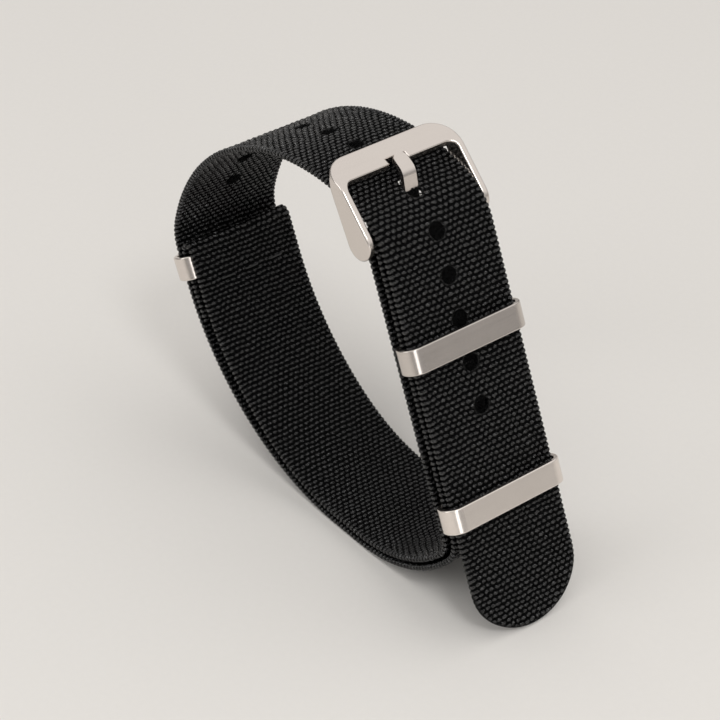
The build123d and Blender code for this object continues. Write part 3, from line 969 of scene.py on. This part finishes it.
class StrapLook(bpy.types.PropertyGroup):
    """Colours and beads of the webbing, and colours of the thread and the metal."""

    yarn_light: bpy.props.FloatVectorProperty(
        name="Light yarn", description="Lighter tone of the webbing's yarn", subtype="COLOR",
        default=(0.004, 0.004, 0.0041), min=0, max=1)
    yarn_dark: bpy.props.FloatVectorProperty(
        name="Dark yarn", description="Darker tone of the webbing's yarn", subtype="COLOR",
        default=(0.0015, 0.0015, 0.0016), min=0, max=1)
    thread_light: bpy.props.FloatVectorProperty(
        name="Light thread", description="Lighter tone of the sewing thread", subtype="COLOR",
        default=(0.032, 0.032, 0.032), min=0, max=1)
    # Painted shade: the near-black colour laid over the gaps between beads, the melted rims and the fibres
    # in the holes
    painted_gap_shade: bpy.props.FloatVectorProperty(
        name="Gap", description="Colour between the webbing's beads", subtype="COLOR",
        default=(0.001, 0.001, 0.0011), min=0, max=1)
    bead_length: bpy.props.FloatProperty(
        name="Bead length", description="Share of the row pitch that a bead fills",
        default=0.92, min=0.1, max=2)
    bead_breadth: bpy.props.FloatProperty(
        name="Bead breadth", description="Share of the bead pitch that a bead fills",
        default=1.04, min=0.1, max=2)
    weave_strength: bpy.props.FloatProperty(
        name="Weave strength", description="Strength of the weave's relief", default=1.0, min=0, max=1)
    steel_light: bpy.props.FloatVectorProperty(
        name="Light steel", description="Lighter tone of the brushed steel", subtype="COLOR",
        default=(0.83, 0.765, 0.715), min=0, max=1)
    steel_dark: bpy.props.FloatVectorProperty(
        name="Dark steel", description="Darker tone of the brushed steel", subtype="COLOR",
        default=(0.75, 0.69, 0.643), min=0, max=1)


class StrapStage(bpy.types.PropertyGroup):
    """Colours and lights of the studio."""

    floor_light: bpy.props.FloatVectorProperty(
        name="Light floor", description="Lighter tone of the floor", subtype="COLOR",
        default=(0.76, 0.74, 0.71), min=0, max=1)
    floor_dark: bpy.props.FloatVectorProperty(
        name="Dark floor", description="Darker tone of the floor", subtype="COLOR",
        default=(0.74, 0.72, 0.69), min=0, max=1)
    sky: bpy.props.FloatVectorProperty(
        name="Sky", description="Colour of the light from all round", subtype="COLOR",
        default=(1.0, 0.98, 0.96), min=0, max=1)
    sky_strength: bpy.props.FloatProperty(
        name="Sky strength", description="Strength of the light from overhead",
        default=0.93, min=0)
    horizon_strength: bpy.props.FloatProperty(
        name="Horizon strength", description="Strength of the light from the horizon",
        default=0.15, min=0)
    sky_start: bpy.props.FloatProperty(
        name="Sky start", description="Height, from -1 to 1, above which the sky gets lighter",
        default=0.0)
    sky_end: bpy.props.FloatProperty(
        name="Sky end", description="Height, from -1 to 1, above which the sky is brightest",
        default=0.7)
    sky_lean: bpy.props.FloatVectorProperty(
        name="Sky lean", description="Direction of the brightest sky", subtype="XYZ",
        default=(0.1, 0.1, 0.95))
    strip_power: bpy.props.FloatProperty(
        name="Strip power", description="Power of the upright strip of light",
        default=0.36, min=0, unit="POWER")
    fill_power: bpy.props.FloatProperty(
        name="Fill power", description="Power of the broad fill lamp",
        default=0.85, min=0, unit="POWER")
    key_power: bpy.props.FloatProperty(
        name="Key power", description="Power of the soft lamp overhead",
        default=0.85, min=0, unit="POWER")


class STRAP_OT_webbing(bpy.types.Operator):
    """Make the long and the short strap of woven webbing"""

    bl_idname = "strap.webbing"
    bl_label = "Webbing"

    def execute(self, context):
        sizes, look = context.scene.strap_sizes, context.scene.strap_look
        long_route, short_route, tongue_hole, bar_centre, shift = strap_routes(sizes.thickness)
        holes = hole_list(tongue_hole, sizes)
        woven = webbing_finish("black webbing", sizes, look)
        long_strap = ribbon(
            "long_strap_webbing", long_route, shift, sizes, holes, tip=True, slot=bar_centre)
        short_strap = ribbon("short_strap_webbing", short_route, shift, sizes)
        for piece, node in ((long_strap, "long_strap"), (short_strap, "short_strap")):
            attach(piece, "strap")
            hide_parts(node)
            dress(piece, woven)
        frayed = fray("hole_shade_fibres", long_route, shift, sizes, holes)
        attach(frayed, "strap")
        dress(frayed, hole_shade_yarn_finish("loose yarn", look))
        return {"FINISHED"}


class STRAP_OT_stitching(bpy.types.Operator):
    """Finish the six rows of stitches"""

    bl_idname = "strap.stitching"
    bl_label = "Stitching"

    def execute(self, context):
        thread = thread_finish("black thread", context.scene.strap_look)
        for name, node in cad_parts.items():
            if name.endswith("stitching"):
                dress(node, thread)
        return {"FINISHED"}


class STRAP_OT_keepers(bpy.types.Operator):
    """Finish the three keeper rings in satin steel"""

    bl_idname = "strap.keepers"
    bl_label = "Keeper rings"

    def execute(self, context):
        look = context.scene.strap_look
        # Each keeper gets its own copy of the steel, lighter or darker as painted light and shade
        for name, tone in KEEPER_LIGHT_AND_SHADE_TONES.items():
            label = "satin steel " + name.replace("_", " ")
            satin = steel_finish(label, look, tone, KEEPER_BRUSH, KEEPER_ROUGHNESS)
            dress(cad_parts[name], satin)
        return {"FINISHED"}


class STRAP_OT_buckle(bpy.types.Operator):
    """Finish the buckle's frame and tongue in satin steel"""

    bl_idname = "strap.buckle"
    bl_label = "Buckle"

    def execute(self, context):
        look = context.scene.strap_look
        satin = steel_finish("satin steel buckle", look, BUCKLE_TONE, BUCKLE_BRUSH, BUCKLE_ROUGHNESS)
        for name in ("buckle_frame", "buckle_tongue"):
            dress(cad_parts[name], satin)
        return {"FINISHED"}


class STRAP_OT_spring_bar(bpy.types.Operator):
    """Finish the spring bar's tube, tips and spring in turned steel"""

    bl_idname = "strap.spring_bar"
    bl_label = "Spring bar"

    def execute(self, context):
        look = context.scene.strap_look
        # The bar's steel is toned down as painted shade
        turned = steel_finish("turned steel bar", look, BAR_SHADE_TONE, BAR_BRUSH, BAR_ROUGHNESS)
        for name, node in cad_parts.items():
            if name.startswith("spring_bar"):
                dress(node, turned)
        return {"FINISHED"}


class STRAP_OT_stage(bpy.types.Operator):
    """Set up the floor, the lights and the camera"""

    bl_idname = "strap.stage"
    bl_label = "Stage"

    def execute(self, context):
        stage = context.scene.strap_stage
        bpy.ops.object.select_all(action="DESELECT")
        bpy.ops.mesh.primitive_plane_add(size=FLOOR_SIDE)
        floor = context.active_object
        floor.name = floor.data.name = "floor"
        floor.data.materials.append(floor_finish("backdrop paper", stage))

        pitch, azimuth = radians(CAMERA_PITCH), radians(CAMERA_AZIMUTH)
        level = np.cos(pitch)
        ahead = Vector((-np.sin(azimuth) * level, np.cos(azimuth) * level, -np.sin(pitch)))
        place = CAMERA_TARGET - ahead * CAMERA_DISTANCE
        bpy.ops.object.camera_add(location=place, rotation=facing(ahead))
        camera = context.active_object
        camera.name = "camera"
        camera.data.sensor_width = SENSOR_WIDTH_MM
        camera.data.lens = LENS_PX / FRAME_SIDE_PX * SENSOR_WIDTH_MM
        camera.data.clip_start = CAMERA_NEAR
        context.scene.camera = camera

        lamps = (
            ("key", KEY_PLACE, KEY_SIZE, KEY_SIZE, stage.key_power),
            ("strip", STRIP_PLACE, STRIP_WIDTH, STRIP_HEIGHT, stage.strip_power),
            ("fill", FILL_PLACE, FILL_SIZE, FILL_SIZE, stage.fill_power),
        )
        for name, place, width, height, power in lamps:
            turn = facing(CAMERA_TARGET - Vector(place))
            bpy.ops.object.light_add(type="AREA", location=place, rotation=turn)
            lamp = context.active_object
            lamp.name = name
            lamp.data.shape = "ELLIPSE"
            lamp.data.size, lamp.data.size_y = width, height
            lamp.data.energy = power
        context.scene.world = studio_light("studio", stage)
        context.scene.view_settings.view_transform = "Standard"
        return {"FINISHED"}


OPERATORS = (
    STRAP_OT_webbing,
    STRAP_OT_stitching,
    STRAP_OT_keepers,
    STRAP_OT_buckle,
    STRAP_OT_spring_bar,
    STRAP_OT_stage,
)
GROUPS = {"strap_sizes": StrapSizes, "strap_look": StrapLook, "strap_stage": StrapStage}


class STRAP_PT_panel(bpy.types.Panel):
    """Sizes, colours and steps of the watch strap"""

    bl_idname = "STRAP_PT_panel"
    bl_label = "Watch Strap"
    bl_space_type = "VIEW_3D"
    bl_region_type = "UI"
    bl_category = "Strap"

    def draw(self, context):
        for group in GROUPS:
            box = self.layout.box()
            settings = getattr(context.scene, group)
            for name in settings.bl_rna.properties.keys():
                if name not in ("rna_type", "name"):
                    box.prop(settings, name)
        for operator in OPERATORS:
            self.layout.operator(operator.bl_idname)


def register():
    for group in (*GROUPS.values(), *OPERATORS, STRAP_PT_panel):
        bpy.utils.register_class(group)
    for name, group in GROUPS.items():
        setattr(bpy.types.Scene, name, bpy.props.PointerProperty(type=group))


def unregister():
    for name in GROUPS:
        delattr(bpy.types.Scene, name)
    for group in (STRAP_PT_panel, *reversed(OPERATORS), *GROUPS.values()):
        bpy.utils.unregister_class(group)


def main():
    """Makes every piece and the stage."""
    register()
    bpy.ops.strap.webbing()
    bpy.ops.strap.stitching()
    bpy.ops.strap.keepers()
    bpy.ops.strap.buckle()
    bpy.ops.strap.spring_bar()
    bpy.ops.strap.stage()


if __name__ == "__main__":
    main()
